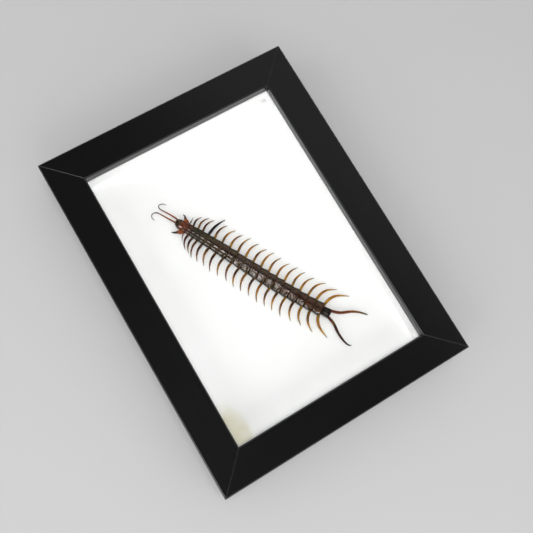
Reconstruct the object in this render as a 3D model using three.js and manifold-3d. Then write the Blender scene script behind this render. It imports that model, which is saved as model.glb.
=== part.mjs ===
// Framed centipede specimen: a deep black picture frame lying on its back, with a dried centipede
// on a white board behind glass. Millimetres, +Z out of the glass, +Y towards the top of the frame,
// origin at the middle of the back.

import * as THREE from 'three';
import { mergeVertices } from 'three/addons/utils/BufferGeometryUtils.js';
import Module from 'manifold-3d';

const wasm = await Module();
wasm.setup();

// Frame
const sightWidth = 119; // opening seen through the glass
const sightLength = 170;
const faceWidth = 19.5; // flat front of a rail
const frameDepth = 30;
const lipDepth = 6.4; // front face down to the glass
const rebateWidth = 4.5; // step behind the lip
const arris = 0.5; // eased front edges
const mitreGap = 0.05; // on each side of a corner joint
const stackGap = 0.1; // between pieces stacked in the rebate
const outerWidth = sightWidth + 2 * faceWidth;
const outerLength = sightLength + 2 * faceWidth;
const rebateWall = faceWidth - rebateWidth; // from the outer edge to the step

// Pieces stacked in the rebate, from the front
const glassWidth = 127;
const glassLength = 178;
const glassThickness = 2;
const spacerThickness = 3.8;
const spacerInset = 0.2; // spacers stand this far back from the lip
const boardDepth = 18.5; // front face down to the specimen's board
const boardThickness = 2.5;
const panelThickness = 3;
const glassTop = frameDepth - lipDepth - stackGap;
const boardTop = frameDepth - boardDepth;
const panelTop = boardTop - boardThickness - stackGap;
const panelBack = panelTop - panelThickness;

// Steel tabs that hold the back panel
const tabWidth = 9;
const tabThickness = 0.7;
const tabInRail = 6;
const tabOverPanel = 9;
const tabClearance = 0.2;
const tabTop = panelBack - tabClearance;
const tabSpacing = 100; // the two tabs on a long rail

// Sawtooth hanger on the back panel
const hangerLength = 44;
const hangerWidth = 9;
const hangerThickness = 0.9;
const hangerRise = 1.8;
const hangerEnd = 8; // flat end with the rivet
const hangerRamp = 3;
const hangerHeight = 66; // above the middle of the panel
const toothCount = 9;
const toothPitch = 2.2;
const toothDepth = 1.6;
const rivetRadius = 1;
const rivetHeadRadius = 1.9;
const rivetHeadHeight = 0.7;
const rivetInPanel = 2;
const rivetHole = 1.3;

// Centipede, in its own frame: x runs from the head to the tail, z = 0 is the board
const headX = -25.3; // the start of x on the board, from the middle of the frame
const headY = 41.2;
const bodyTurn = -60.85; // degrees, direction from head to tail
const legPairs = 20; // walking legs; the last pair trails behind
const firstLegAt = 5.6;
const frontPitch = 3; // between the first leg pairs
const pitchGrowth = 2.3; // added further back
const pitchStart = 2.6; // pair where the spacing starts to grow
const pitchStretch = 4.2;
const trunkStart = 4;
const trunkEnd = 102.4;
const trunkWidest = 4.1; // half width
const widestAt = 58;
const trunkTaper = 0.27;
const taperLength = 52;
const lastPlateShare = 0.74; // the last plate is narrower
const trunkHeight = 2.45; // middle of the trunk above the board
const backRise = 0.56; // height of the back above the middle, as a share of the half width
const bellyDrop = 0.5;
const bowDepth = 1.5; // the body lies slightly bent to one side
const bowAt = 74;
const bowSpread = 34;
const headMiddle = 2.3;
const headHalfLength = 4.3;
const headHalfWidth = 2.75;
const legRadius = 0.72;
const legReach = 14.6; // middle of the body out to the claw
const legSweep = 2.6; // claw behind the root of the leg
const frontReachLoss = 3.6; // the front legs are shorter
const rearSweep = 8.4; // the rear legs trail
const legStraying = 0.4; // no two legs lie quite alike
const legRootDepth = 1.2; // inside the trunk's edge
const legHeights = { root: 2, knee: 2.9, shin: 1.7, claw: 0.35 };
const lastLegRadius = 0.86;
const antennaRadius = 0.48;
const antennaTipRadius = 0.18;

const degree = Math.PI / 180;

// One closed solid from a geometry
function solid(geometry) {
  const bare = geometry.clone();
  bare.deleteAttribute('normal');
  bare.deleteAttribute('uv');
  const merged = mergeVertices(bare, 1e-4);
  const index = merged.index.array;
  const kept = [];
  for (let i = 0; i < index.length; i += 3) {
    const [a, b, c] = index.slice(i, i + 3);
    if (a !== b && b !== c && c !== a) kept.push(a, b, c);
  }
  const mesh = new wasm.Mesh({
    numProp: 3,
    vertProperties: new Float32Array(merged.attributes.position.array),
    triVerts: new Uint32Array(kept),
  });
  return new wasm.Manifold(mesh);
}

// The geometry of a solid after joining or cutting
function geometryOf(body) {
  const mesh = body.getMesh();
  const geometry = new THREE.BufferGeometry();
  geometry.setAttribute('position', new THREE.BufferAttribute(mesh.vertProperties, 3));
  geometry.setIndex(new THREE.BufferAttribute(mesh.triVerts, 1));
  geometry.computeVertexNormals();
  return geometry;
}

// Finishes, one colour to each kind of material
const finishes = {
  rail: { color: 0x1b1b1d, roughness: 0.45, metalness: 0 },
  glass: { color: 0xe8f0ee, roughness: 0.05, metalness: 0 },
  spacer: { color: 0xf6f5f1, roughness: 0.9, metalness: 0 },
  board: { color: 0xf8f8f6, roughness: 0.9, metalness: 0 },
  panel: { color: 0x8a6a4a, roughness: 0.8, metalness: 0 },
  steel: { color: 0xb8bcc0, roughness: 0.35, metalness: 1 },
  brass: { color: 0xc4a258, roughness: 0.35, metalness: 1 },
  centipede: { color: 0x3a2a1e, roughness: 0.35, metalness: 0 },
};

function piece(name, geometry, finish) {
  const material = new THREE.MeshStandardMaterial(finishes[finish]);
  const mesh = new THREE.Mesh(geometry, material);
  mesh.name = name;
  return mesh;
}

// Rail: an L section with its ends cut at 45 degrees. x runs along it, y in from the outer edge.
function railGeometry(length) {
  const section = new THREE.Shape();
  section.moveTo(0, 0);
  section.lineTo(rebateWall, 0);
  section.lineTo(rebateWall, frameDepth - lipDepth);
  section.lineTo(faceWidth, frameDepth - lipDepth);
  section.lineTo(faceWidth, frameDepth - arris);
  section.lineTo(faceWidth - arris, frameDepth);
  section.lineTo(arris, frameDepth);
  section.lineTo(0, frameDepth - arris);
  section.closePath();
  const geometry = new THREE.ExtrudeGeometry(section, { depth: length, bevelEnabled: false });
  const position = geometry.attributes.position;
  for (let i = 0; i < position.count; i += 1) {
    const inward = position.getX(i);
    const up = position.getY(i);
    const end = Math.sign(position.getZ(i) - length / 2);
    position.setXYZ(i, end * (length / 2 - inward - mitreGap), inward, up);
  }
  return geometry;
}

function slotGeometry(along) {
  const depth = tabInRail + tabClearance;
  const past = 1; // so that the cut breaks out of the step
  const slot = new THREE.BoxGeometry(
    tabWidth + 2 * tabClearance, depth + past, tabThickness + 2 * tabClearance);
  slot.translate(along, rebateWall + (past - depth) / 2, tabTop - tabThickness / 2);
  return slot;
}

// Tab: a thin blade with a rounded free end
function tabGeometry() {
  const half = tabWidth / 2;
  const outline = new THREE.Shape();
  outline.moveTo(-half, -tabInRail);
  outline.lineTo(half, -tabInRail);
  outline.lineTo(half, tabOverPanel - half);
  outline.absarc(0, tabOverPanel - half, half, 0, Math.PI, false);
  outline.closePath();
  return new THREE.ExtrudeGeometry(outline, {
    depth: tabThickness, bevelEnabled: false, curveSegments: 10,
  });
}

// One side of the frame: its rail and the tabs set in it
function frameSide(name, turn, length, tabPlaces) {
  const side = new THREE.Group();
  let rail = solid(railGeometry(length));
  for (const along of tabPlaces) rail = rail.subtract(solid(slotGeometry(along)));
  side.add(piece(`rail_${name}`, geometryOf(rail), 'rail'));
  tabPlaces.forEach((along, i) => {
    const label = tabPlaces.length > 1 ? `tab_${name}_${i + 1}` : `tab_${name}`;
    const tab = piece(label, tabGeometry(), 'steel');
    tab.position.set(along, rebateWall, tabTop - tabThickness);
    side.add(tab);
  });
  side.rotation.z = turn * degree;
  return side;
}

function frameSides() {
  const frame = new THREE.Group();
  const pair = [-tabSpacing / 2, tabSpacing / 2];
  const bottom = frameSide('bottom', 0, outerWidth, [0]);
  bottom.position.y = -outerLength / 2;
  const right = frameSide('right', 90, outerLength, pair);
  right.position.x = outerWidth / 2;
  const top = frameSide('top', 180, outerWidth, [0]);
  top.position.y = outerLength / 2;
  const left = frameSide('left', -90, outerLength, pair);
  left.position.x = -outerWidth / 2;
  frame.add(bottom, right, top, left);
  return frame;
}

// Flat sheets and strips in the rebate
function slab(name, width, length, thickness, top, finish) {
  const sheet = piece(name, new THREE.BoxGeometry(width, length, thickness), finish);
  sheet.position.z = top - thickness / 2;
  return sheet;
}

function spacers() {
  const group = new THREE.Group();
  const top = glassTop - glassThickness - stackGap;
  const height = top - boardTop - stackGap;
  const sideAt = sightWidth / 2 + spacerInset + spacerThickness / 2;
  const endAt = sightLength / 2 + spacerInset + spacerThickness / 2;
  const endWidth = sightWidth + 2 * spacerInset - 2 * stackGap;
  for (const [name, sign] of [['left', -1], ['right', 1]]) {
    const strip = slab(`spacer_${name}`, spacerThickness, glassLength, height, top, 'spacer');
    strip.position.x = sign * sideAt;
    group.add(strip);
  }
  for (const [name, sign] of [['bottom', -1], ['top', 1]]) {
    const strip = slab(`spacer_${name}`, endWidth, spacerThickness, height, top, 'spacer');
    strip.position.y = sign * endAt;
    group.add(strip);
  }
  return group;
}

// Back panel with blind holes for the hanger's rivets
const rivetPlaces = [-1, 1].map((sign) => sign * (hangerLength - hangerEnd) / 2);

function backPanel() {
  let panel = solid(new THREE.BoxGeometry(glassWidth, glassLength, panelThickness));
  const depth = rivetInPanel + tabClearance;
  for (const x of rivetPlaces) {
    const hole = new THREE.CylinderGeometry(rivetHole, rivetHole, 2 * depth, 16);
    hole.rotateX(Math.PI / 2);
    hole.translate(x, hangerHeight, -panelThickness / 2);
    panel = panel.subtract(solid(hole));
  }
  const sheet = piece('back_panel', geometryOf(panel), 'panel');
  sheet.position.z = panelTop - panelThickness / 2;
  return sheet;
}

// Hanger: a pressed strip, raised in the middle, with teeth along its lower edge
function hanger() {
  const group = new THREE.Group();
  const half = hangerLength / 2;
  const flat = half - hangerEnd;
  const raised = flat - hangerRamp;
  const path = [[-half, 0], [-flat, 0], [-raised, hangerRise], [raised, hangerRise], [flat, 0], [half, 0]];
  const under = path.map(([x, h]) => new THREE.Vector2(x, -h));
  const over = path.map(([x, h]) => new THREE.Vector2(x, -h - hangerThickness)).reverse();
  const section = new THREE.Shape([...under, ...over]);
  const strip = new THREE.ExtrudeGeometry(section, { depth: hangerWidth, bevelEnabled: false });
  strip.translate(0, 0, -hangerWidth / 2);
  strip.rotateX(Math.PI / 2);
  let body = solid(strip);
  for (let i = 0; i < toothCount; i += 1) {
    const notch = new THREE.CylinderGeometry(toothDepth, toothDepth, 6 * hangerRise, 4);
    notch.rotateX(Math.PI / 2);
    notch.translate((i - (toothCount - 1) / 2) * toothPitch, -hangerWidth / 2 - toothDepth / 3, -hangerRise);
    body = body.subtract(solid(notch));
  }
  for (const x of rivetPlaces) {
    const hole = new THREE.CylinderGeometry(rivetHole, rivetHole, 4 * hangerThickness, 16);
    hole.rotateX(Math.PI / 2);
    hole.translate(x, 0, 0);
    body = body.subtract(solid(hole));
  }
  group.add(piece('hanger', geometryOf(body), 'brass'));

  const headTop = -hangerThickness - stackGap; // the head sits under the strip
  const profile = [
    new THREE.Vector2(0, headTop - rivetHeadHeight),
    new THREE.Vector2(0.7 * rivetHeadRadius, headTop - 0.85 * rivetHeadHeight),
    new THREE.Vector2(rivetHeadRadius, headTop),
    new THREE.Vector2(rivetRadius, headTop),
    new THREE.Vector2(rivetRadius, stackGap + rivetInPanel),
    new THREE.Vector2(0, stackGap + rivetInPanel),
  ];
  rivetPlaces.forEach((x, i) => {
    const shape = new THREE.LatheGeometry(profile, 16);
    shape.rotateX(Math.PI / 2);
    const rivet = piece(`hanger_rivet_${i + 1}`, geometryOf(solid(shape)), 'brass');
    rivet.position.x = x;
    group.add(rivet);
  });
  group.position.set(0, hangerHeight, panelBack - stackGap);
  return group;
}

// Centipede: where each leg pair stands along the body
function legStations() {
  const stations = [firstLegAt];
  for (let pair = 1; pair <= legPairs; pair += 1) {
    const grown = THREE.MathUtils.smoothstep(pair, pitchStart, pitchStart + pitchStretch);
    stations.push(stations[pair - 1] + frontPitch + pitchGrowth * grown);
  }
  return stations;
}
const stations = legStations();

// The body's sideways bow and its half width, at a place along it
const bow = (x) => 0.1 - bowDepth * Math.exp(-(((x - bowAt) / bowSpread) ** 2));
const halfWidth = (x) => trunkWidest * (1 - trunkTaper * ((x - widestAt) / taperLength) ** 2);

// A turned profile bent along a curve: [radius, share of the length] pairs, closed at both ends
function bentTube(profile, curve, sides) {
  const points = profile.map(([radius, share]) => new THREE.Vector2(radius, share));
  const geometry = new THREE.LatheGeometry(points, sides);
  const position = geometry.attributes.position;
  const upright = new THREE.Vector3(0, 0, 1);
  for (let i = 0; i < position.count; i += 1) {
    const share = THREE.MathUtils.clamp(position.getY(i), 0, 1);
    const ahead = curve.getTangentAt(share);
    const aside = new THREE.Vector3().crossVectors(ahead, upright).normalize();
    const over = new THREE.Vector3().crossVectors(aside, ahead);
    const place = curve.getPointAt(share);
    place.addScaledVector(aside, position.getX(i));
    place.addScaledVector(over, position.getZ(i));
    position.setXYZ(i, place.x, place.y, place.z);
  }
  return solid(geometry);
}

const through = (points) => new THREE.CatmullRomCurve3(points.map((p) => new THREE.Vector3(...p)));

// Leg: swollen at each joint, thin at the claw
function legSolid(points, thickness) {
  const profile = [
    [0, 0], [1, 0.02], [0.86, 0.2], [0.94, 0.4], [0.74, 0.6], [0.56, 0.8], [0.34, 0.95], [0, 1],
  ];
  return bentTube(profile.map(([r, s]) => [r * thickness, s]), through(points), 6);
}

function walkingLeg(pair, side) {
  const x = stations[pair - 1];
  const upper = side > 0;
  const front = Math.exp((2 - pair) / 2.5); // 1 at the second pair, fading towards the rear
  const rear = Math.max(0, (pair - 15) / 5) ** 2.2; // 1 at the last walking pair
  let reach = legReach - frontReachLoss * front + (upper ? 0.8 : -2.4) * rear;
  let sweep = legSweep - (upper ? 1.6 : 0.4) * front + rearSweep * rear;
  reach += legStraying * Math.sin(2.1 * pair + side);
  sweep += legStraying * Math.sin(1.7 * pair + 2 * side);
  let knee = -0.9 + 0.21 * sweep;
  let shin = -0.7 + 0.5 * sweep;
  let thickness = legRadius * (1 + 0.2 * rear);
  if (pair === 1) { // the small first pair
    reach = 8;
    sweep = upper ? -0.3 : 1.6;
    thickness = 0.5 * legRadius;
  }
  if (pair === 5 && upper) { // the one dark leg that stands out straighter
    reach = 16.6;
    sweep = 3.7;
    knee = 0.7;
    shin = 2;
    thickness = 1.25 * legRadius;
  }
  const root = halfWidth(x) - legRootDepth;
  const at = (along, share, up) => {
    const out = THREE.MathUtils.lerp(root, reach, share);
    return [x + along, bow(x) + side * out, up];
  };
  return legSolid([
    at(0, 0, legHeights.root),
    at(knee, 0.42, legHeights.knee),
    at(shin, 0.74, legHeights.shin),
    at(sweep, 1, legHeights.claw),
  ], thickness);
}

// Last leg: long and trailing; the lower one ends in a small hook
const lastLegPaths = {
  upper: [[99.5, 0.4, 2.2], [106.7, 2.7, 2.6], [111.7, 6.4, 2.4], [116.3, 9, 1.5], [122, 10.8, 0.45]],
  lower: [
    [99.5, -2, 2.2], [106.3, -4.3, 2.6], [111.5, -7.8, 2.4], [116.3, -9.9, 1.4], [120.2, -10.6, 0.5],
    [122.2, -9.8, 0.4],
  ],
};

function lastLeg(side) {
  const points = side > 0 ? lastLegPaths.upper : lastLegPaths.lower;
  const profile = [
    [0, 0], [1, 0.02], [0.92, 0.2], [1, 0.36], [0.84, 0.52], [0.62, 0.72], [0.4, 0.92], [0, 1],
  ];
  return bentTube(profile.map(([r, s]) => [r * lastLegRadius, s]), through(points), 8);
}

// Antenna: a slim feeler that curls outwards at its tip
const antennaPaths = {
  upper: [
    [0.5, 0.9, 2.8], [-3.3, 1.7, 2.9], [-9, 1.8, 2.4], [-13.6, 1.8, 1.8], [-15.4, 3.2, 1.5],
    [-14.4, 5.2, 1.2], [-12, 5.9, 0.9],
  ],
  lower: [
    [0.5, -0.4, 2.8], [-3.3, -0.7, 2.9], [-9, -0.8, 2.4], [-13.6, -0.9, 1.8], [-15.8, -2.6, 1.5],
    [-15.2, -4.8, 1.2], [-12.8, -5.6, 0.9],
  ],
};

function antenna(side) {
  const points = side > 0 ? antennaPaths.upper : antennaPaths.lower;
  const rings = 16;
  const profile = [[0, 0]];
  for (let i = 0; i < rings; i += 1) {
    const share = 0.01 + 0.98 * i / (rings - 1);
    profile.push([THREE.MathUtils.lerp(antennaRadius, antennaTipRadius, share), share]);
  }
  profile.push([0, 1]);
  return bentTube(profile, through(points), 6);
}

// Poison claw: a stout base at the side of the head and a curved fang
function poisonClaw(side) {
  const points = [[6, 1.4, 1.7], [3.6, 3.2, 1.8], [1.6, 4.7, 1.6], [0.4, 5.7, 1.4], [-0.8, 6.2, 1.2]];
  const profile = [[0, 0], [1.3, 0.06], [1.5, 0.28], [1.15, 0.46], [0.6, 0.64], [0.36, 0.84], [0, 1]];
  const curve = through(points.map(([x, y, z]) => [x, bow(x) + side * y, z]));
  return bentTube(profile, curve, 8);
}

// Trunk: one plate to each leg pair, each with its rear edge over the front of the next
function trunk() {
  const ends = [trunkStart];
  stations.forEach((x, i) => {
    ends.push(i < legPairs ? (x + stations[i + 1]) / 2 : trunkEnd);
  });
  const profile = [new THREE.Vector2(0, ends[0])];
  stations.forEach((station, i) => {
    const start = ends[i];
    const length = ends[i + 1] - start;
    const wide = halfWidth(station) * (i === legPairs ? lastPlateShare : 1);
    for (const [share, width] of [[0.02, 0.88], [0.3, 0.98], [0.82, 1], [0.98, 0.95]]) {
      profile.push(new THREE.Vector2(width * wide, start + share * length));
    }
  });
  profile.push(new THREE.Vector2(0, trunkEnd));
  return flattened(new THREE.LatheGeometry(profile, 14));
}

// Head: a rounded shield in front of the trunk
function head() {
  const profile = [];
  const steps = 8;
  for (let i = 0; i <= steps; i += 1) {
    const angle = Math.PI * i / steps;
    const wide = headHalfWidth * Math.sin(angle) ** 0.75;
    profile.push(new THREE.Vector2(wide, headMiddle - headHalfLength * Math.cos(angle)));
  }
  return flattened(new THREE.LatheGeometry(profile, 14));
}

// A turned shape laid along the body, with an arched back and a flatter belly
function flattened(geometry) {
  const position = geometry.attributes.position;
  for (let i = 0; i < position.count; i += 1) {
    const along = position.getY(i);
    const rise = -position.getZ(i);
    const up = rise > 0 ? backRise * rise : bellyDrop * rise;
    position.setXYZ(i, along, bow(along) + position.getX(i), trunkHeight + up);
  }
  return solid(geometry);
}

function centipede() {
  let body = trunk().add(head());
  for (const side of [1, -1]) {
    body = body.add(antenna(side)).add(poisonClaw(side)).add(lastLeg(side));
    for (let pair = 1; pair <= legPairs; pair += 1) body = body.add(walkingLeg(pair, side));
  }
  const animal = piece('centipede', geometryOf(body), 'centipede');
  animal.position.set(headX, headY, boardTop);
  animal.rotation.z = bodyTurn * degree;
  return animal;
}

const framedCentipede = new THREE.Group();
framedCentipede.add(
  frameSides(),
  slab('glass_pane', glassWidth, glassLength, glassThickness, glassTop, 'glass'),
  spacers(),
  slab('mount_board', glassWidth, glassLength, boardThickness, boardTop, 'board'),
  backPanel(),
  hanger(),
  centipede(),
);

export default framedCentipede;
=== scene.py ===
import math

import bmesh
import bpy
from mathutils import Matrix, Vector, noise
from mathutils.geometry import interpolate_bezier


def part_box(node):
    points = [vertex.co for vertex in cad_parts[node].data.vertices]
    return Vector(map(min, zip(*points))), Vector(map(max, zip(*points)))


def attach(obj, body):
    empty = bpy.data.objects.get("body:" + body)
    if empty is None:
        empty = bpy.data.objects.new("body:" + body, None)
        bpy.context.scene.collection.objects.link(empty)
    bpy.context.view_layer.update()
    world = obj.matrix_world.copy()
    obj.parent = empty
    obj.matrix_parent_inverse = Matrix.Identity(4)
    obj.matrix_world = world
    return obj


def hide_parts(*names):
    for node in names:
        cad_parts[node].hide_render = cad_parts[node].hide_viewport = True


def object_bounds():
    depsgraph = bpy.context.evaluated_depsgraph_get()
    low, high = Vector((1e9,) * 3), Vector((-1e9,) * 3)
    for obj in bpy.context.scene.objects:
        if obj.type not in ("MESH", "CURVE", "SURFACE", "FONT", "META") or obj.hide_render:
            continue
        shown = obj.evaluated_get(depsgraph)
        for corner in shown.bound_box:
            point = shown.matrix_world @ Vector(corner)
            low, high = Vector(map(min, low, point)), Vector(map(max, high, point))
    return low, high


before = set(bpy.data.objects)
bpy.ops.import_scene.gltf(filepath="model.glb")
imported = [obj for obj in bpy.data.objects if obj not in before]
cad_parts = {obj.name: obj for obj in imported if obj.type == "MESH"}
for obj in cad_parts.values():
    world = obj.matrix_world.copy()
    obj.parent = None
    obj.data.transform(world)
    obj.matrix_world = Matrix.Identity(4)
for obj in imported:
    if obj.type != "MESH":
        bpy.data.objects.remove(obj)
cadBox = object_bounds()
scene = bpy.context.scene
mm = 0.001
print("frame loaded:", len(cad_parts), "nodes")


# camera, matched to the photograph: place and aim in mm from the middle of the frame's front face,
# lens, sensor and nearest in mm, lean in degrees
photoView = {
    "lens": 48.8, "sensor": 36.0, "nearest": 10.0,
    "place": (-73.2, -62.0, 392.5), "aim": (3.2, -8.4, 0.0), "lean": 30.8,
}


def makeCamera():
    front = Vector((0, 0, cadBox[1].z))
    place = front + Vector(photoView["place"]) * mm
    aim = front + Vector(photoView["aim"]) * mm
    lean = math.radians(photoView["lean"])
    back = (place - aim).normalized()
    right = Vector((math.sin(lean), math.cos(lean), 0)).cross(back).normalized()
    up = back.cross(right)
    lens = bpy.data.cameras.new("photoCamera")
    lens.lens = photoView["lens"]
    lens.sensor_width = photoView["sensor"]
    lens.clip_start = photoView["nearest"] * mm
    camera = bpy.data.objects.new("photoCamera", lens)
    turn = Matrix((right, up, back)).transposed().to_4x4()
    camera.matrix_world = Matrix.Translation(place) @ turn
    scene.collection.objects.link(camera)
    scene.camera = camera


makeCamera()
print("camera placed")


def hexColour(code):  # sRGB hex to linear RGBA
    parts = [int(code[i:i + 2], 16) / 255 for i in (1, 3, 5)]
    return tuple(c / 12.92 if c <= 0.04045 else ((c + 0.055) / 1.055) ** 2.4 for c in parts) + (1.0,)


def perMm(size):  # texture scale for a pattern of this many mm, on Object coordinates in metres
    return 1 / (size * mm)


def addNode(tree, kind, settings=None, links=None):
    node = tree.nodes.new(kind)
    for name, value in (settings or {}).items():
        if isinstance(name, int) or name in node.inputs:
            node.inputs[name].default_value = value
        else:
            setattr(node, name, value)
    for name, source in (links or {}).items():
        tree.links.new(source, node.inputs[name])
    return node


def newMaterial(name):
    material = bpy.data.materials.new(name)
    material.use_nodes = True
    tree = material.node_tree
    tree.nodes.clear()
    return material, tree


def closeMaterial(tree, shader):
    addNode(tree, "ShaderNodeOutputMaterial", links={"Surface": shader.outputs[0]})


def objectPlace(tree):
    return addNode(tree, "ShaderNodeTexCoord").outputs["Object"]


def addNoise(tree, coords, size, detail, roughness=0.5):  # size of the pattern in mm
    settings = {"Scale": perMm(size), "Detail": detail, "Roughness": roughness}
    return addNode(tree, "ShaderNodeTexNoise", settings, {"Vector": coords})


def spread(tree, source, low, high, start=0.3, end=0.7):  # most of a noise lies between 0.3 and 0.7
    settings = {"From Min": start, "From Max": end, "To Min": low, "To Max": high}
    return addNode(tree, "ShaderNodeMapRange", settings, {"Value": source}).outputs[0]


def combine(tree, operation, first, second):
    return addNode(tree, "ShaderNodeMath", {"operation": operation}, {0: first, 1: second}).outputs[0]


def mixColours(tree, share, first, second):  # a colour is a hex code or a node's output
    settings = {"data_type": "RGBA"}
    links = {0: share}
    for socket, colour in ((6, first), (7, second)):  # the mix node's two colours
        if isinstance(colour, str):
            settings[socket] = hexColour(colour)
        else:
            links[socket] = colour
    return addNode(tree, "ShaderNodeMix", settings, links).outputs[2]


def addRamp(tree, source, stops):  # stops: (place, hex)
    ramp = addNode(tree, "ShaderNodeValToRGB", links={"Fac": source})
    elements = ramp.color_ramp.elements
    while len(elements) > 1:
        elements.remove(elements[-1])
    elements[0].position = stops[0][0]
    elements[0].color = hexColour(stops[0][1])
    for place, code in stops[1:]:
        elements.new(place).color = hexColour(code)
    return ramp.outputs[0]


def addRelief(tree, height, strength, depth, under=None):  # depth in mm, under is a coarser relief
    links = {"Height": height}
    if under is not None:
        links["Normal"] = under
    return addNode(tree, "ShaderNodeBump", {"Strength": strength, "Distance": depth * mm}, links).outputs[0]


# black satin paint on wood: even and dark, faint grain and spray in the gloss; a lighter paint on the eased
# edges is a painted highlight along the arrises
blackPaint = {"dark": "#0e0e0f", "light": "#121213", "sheen": 0.25, "roughness": (0.2, 0.26)}
# lighter paint for the eased edges: a painted highlight along them
paintedEdgeHighlight = {"dark": "#1c1c1e", "light": "#2a2a2c", "sheen": 0.5, "roughness": (0.3, 0.4)}
paintTexture = {
    "grainMm": 0.9, "peelMm": 0.35, "cloudMm": 24, "grain": 0.06, "peel": 0.08, "depthMm": 0.04,
    "alongX": (0.035, 1.0, 1.0), "alongY": (1.0, 0.035, 1.0),
}


def paintedWood(name, grainWay, paint):
    material, tree = newMaterial(name)
    coords = objectPlace(tree)
    stretched = addNode(tree, "ShaderNodeMapping", {"Scale": paintTexture[grainWay]}, {"Vector": coords})
    grain = addNoise(tree, stretched.outputs[0], paintTexture["grainMm"], 4.0, 0.6).outputs["Fac"]
    peel = addNoise(tree, coords, paintTexture["peelMm"], 2.0).outputs["Fac"]
    cloud = addNoise(tree, coords, paintTexture["cloudMm"], 3.0).outputs["Fac"]
    tone = mixColours(tree, cloud, paint["dark"], paint["light"])
    gloss = spread(tree, grain, *paint["roughness"])
    spray = addRelief(tree, peel, paintTexture["peel"], paintTexture["depthMm"])
    fibre = addRelief(tree, grain, paintTexture["grain"], paintTexture["depthMm"], spray)
    shader = addNode(tree, "ShaderNodeBsdfPrincipled", {"IOR": 1.48, "Specular IOR Level": paint["sheen"]},
                     {"Base Color": tone, "Roughness": gloss, "Normal": fibre})
    closeMaterial(tree, shader)
    return material


# clear float glass: smooth, sharp reflections, a trace of green in the thickness
clearGlass = {"tint": "#fdfefd", "bending": 1.5}


def floatGlass():
    material, tree = newMaterial("floatGlass")
    shader = addNode(tree, "ShaderNodeBsdfPrincipled",
                     {"Base Color": hexColour(clearGlass["tint"]), "Roughness": 0.0,
                      "IOR": clearGlass["bending"], "Transmission Weight": 1.0})
    closeMaterial(tree, shader)
    return material


# white card: matt, faint fibre tooth, hardly any change of tone but for painted shade darkening two corners
# of the board
whiteCard = {
    "boardPale": "#f8f8f8", "boardShade": "#f2f2f1", "boardTooth": 0.35,
    # the foam strips are whiter than the board: painted light that lifts the shade on the side walls
    "foamPale": "#fefefe", "foamShade": "#fafafa", "foamTooth": 0.25,
    "toothMm": 0.25, "depthMm": 0.05, "cloudMm": 18, "roughness": 0.85,
}
shadeEdge = {"wanderMm": 4, "blotchMm": 6, "blotch": (0.6, 1.1)}
# painted shade on the board: a beige darkening in the near corner below the near rails, and a grey one in
# the far corner where the walls meet the board
paintedCornerShade = [  # centre and reach in mm from the middle of the board, fade in shares of the reach
    # beige painted shade in the near corner, where the near rails shade the board
    {"colour": "#dfdac4", "centre": (-54.0, -75.5), "reach": (8.0, 16.0), "fade": (0.45, 1.25)},
    # grey painted shade in the far corner, where the two far walls meet the board
    {"colour": "#b8b8b8", "centre": (60.7, 86.6), "reach": (3.6, 2.2), "fade": (0.0, 1.3)},
]


def whitePaper(name, kind, paintedShades=()):
    material, tree = newMaterial(name)
    coords = objectPlace(tree)
    cloud = addNoise(tree, coords, whiteCard["cloudMm"], 4.0)
    fibre = addNoise(tree, coords, whiteCard["toothMm"], 4.0, 0.65).outputs["Fac"]
    colour = mixColours(tree, cloud.outputs["Fac"], whiteCard[kind + "Pale"], whiteCard[kind + "Shade"])
    if paintedShades:
        colour = addPaintedShade(tree, coords, cloud.outputs["Color"], colour, paintedShades)
    tooth = addRelief(tree, fibre, whiteCard[kind + "Tooth"], whiteCard["depthMm"])
    shader = addNode(tree, "ShaderNodeBsdfPrincipled", {"Roughness": whiteCard["roughness"], "IOR": 1.45},
                     {"Base Color": colour, "Normal": tooth})
    closeMaterial(tree, shader)
    return material


# paints patches of shade onto the card, darker towards each centre, with frayed edges
def addPaintedShade(tree, coords, stray, colour, paintedShades):
    wander = shadeEdge["wanderMm"] * mm
    frayed = addNode(tree, "ShaderNodeVectorMath",
                     {"operation": "MULTIPLY_ADD", 1: (wander, wander, wander)},
                     {0: stray, 2: coords})
    spots = addNoise(tree, coords, shadeEdge["blotchMm"], 3.0).outputs["Fac"]
    blotch = spread(tree, spots, *shadeEdge["blotch"])
    for shadePatch in paintedShades:
        centre = (shadePatch["centre"][0] * mm, shadePatch["centre"][1] * mm, 0)
        reach = (shadePatch["reach"][0] * mm, shadePatch["reach"][1] * mm, 1)
        centred = addNode(tree, "ShaderNodeMapping",
                          {"vector_type": "TEXTURE", "Location": centre, "Scale": reach},
                          {"Vector": frayed.outputs[0]})
        away = addNode(tree, "ShaderNodeVectorMath", {"operation": "LENGTH"}, {0: centred.outputs[0]})
        shadeFalloff = addNode(tree, "ShaderNodeMapRange",
                       {"interpolation_type": "SMOOTHSTEP", "From Min": shadePatch["fade"][0],
                        "From Max": shadePatch["fade"][1], "To Min": 1.0, "To Max": 0.0},
                       {"Value": away.outputs["Value"]})
        uneven = combine(tree, "MULTIPLY", shadeFalloff.outputs[0], blotch)
        colour = mixColours(tree, uneven, colour, shadePatch["colour"])
    return colour


# hardboard: pressed brown fibre, a fine fuzz over shallow dimples
rawHardboard = {
    "dark": "#54371f", "light": "#8b6640", "fibreMm": 0.7, "cloudMm": 15, "cloudShare": 0.3,
    "dimpleMm": 1.6, "dimple": 0.5, "dimpleDepthMm": 0.2, "fuzz": 0.4, "fuzzDepthMm": 0.1,
}


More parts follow.
